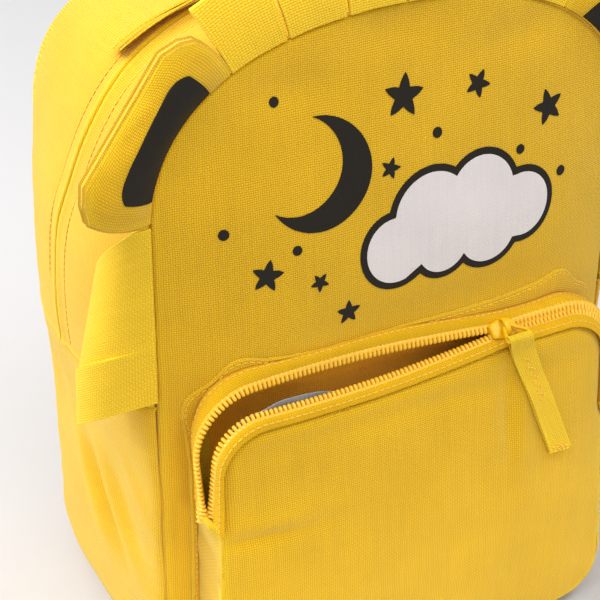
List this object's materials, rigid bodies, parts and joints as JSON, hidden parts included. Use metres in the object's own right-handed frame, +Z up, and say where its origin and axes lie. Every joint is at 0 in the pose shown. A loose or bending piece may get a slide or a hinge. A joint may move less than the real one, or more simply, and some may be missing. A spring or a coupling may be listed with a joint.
{
  "type": "kids backpack",
  "caption": "Child's backpack with an arched zip body, a zipped front pocket, padded ears and webbing tabs sewn into the front seam, a hand loop and padded shoulder straps.",
  "frame": {"origin": "on the floor under the middle of the whole bag's box", "axes": "+Z up, the front pocket faces -Y, the shoulder straps +Y, +X to the right as seen from the front"},
  "size_m": [0.296, 0.2194, 0.358],
  "materials": {
    "body_cloth": "yellow woven polyester with a coarse plain weave",
    "webbing": "yellow ribbed polypropylene webbing",
    "zip_tape": "dyed zip tape",
    "zip_coil": "yellow nylon coil",
    "slider_enamel": "yellow enamel on die-cast zinc",
    "pocket_lining": "grey plain lining cloth",
    "adjuster_plastic": "yellow moulded acetal",
    "transfer_film": "matt heat-transfer film, black and off-white"
  },
  "bodies": {
    "root": {"front_panel": "body_cloth", "back_panel": "body_cloth", "gusset_front": "body_cloth", "gusset_back": "body_cloth", "gusset_bottom": "body_cloth", "main_zip": "zip_tape", "pocket_front": "body_cloth", "pocket_lining": "pocket_lining", "pocket_gusset": "body_cloth", "pocket_flange": "body_cloth", "pocket_tape_upper": "zip_tape", "pocket_tape_lower": "zip_tape", "pocket_coil_upper": "zip_coil", "pocket_coil_lower": "zip_coil", "pocket_slider": "slider_enamel", "pocket_pull_ring": "slider_enamel", "pocket_pull": "webbing", "ear_left": "body_cloth", "ear_right": "body_cloth", "mane_tab_top_1": "webbing", "mane_tab_top_2": "webbing", "mane_tab_top_3": "webbing", "mane_tab_top_4": "webbing", "mane_tab_top_5": "webbing", "mane_tab_top_6": "webbing", "mane_tab_left_upper": "webbing", "mane_tab_left_lower": "webbing", "mane_tab_right_upper": "webbing", "mane_tab_right_lower": "webbing", "main_slider_left": "slider_enamel", "main_slider_right": "slider_enamel", "main_pull_left": "webbing", "main_pull_right": "webbing", "grab_handle": "webbing", "strap_pad_left": "body_cloth", "strap_pad_right": "body_cloth", "strap_web_left": "webbing", "strap_web_right": "webbing", "strap_adjuster_left": "adjuster_plastic", "strap_adjuster_right": "adjuster_plastic", "strap_corner_left": "body_cloth", "strap_corner_right": "body_cloth"}
  },
  "joints": []
}
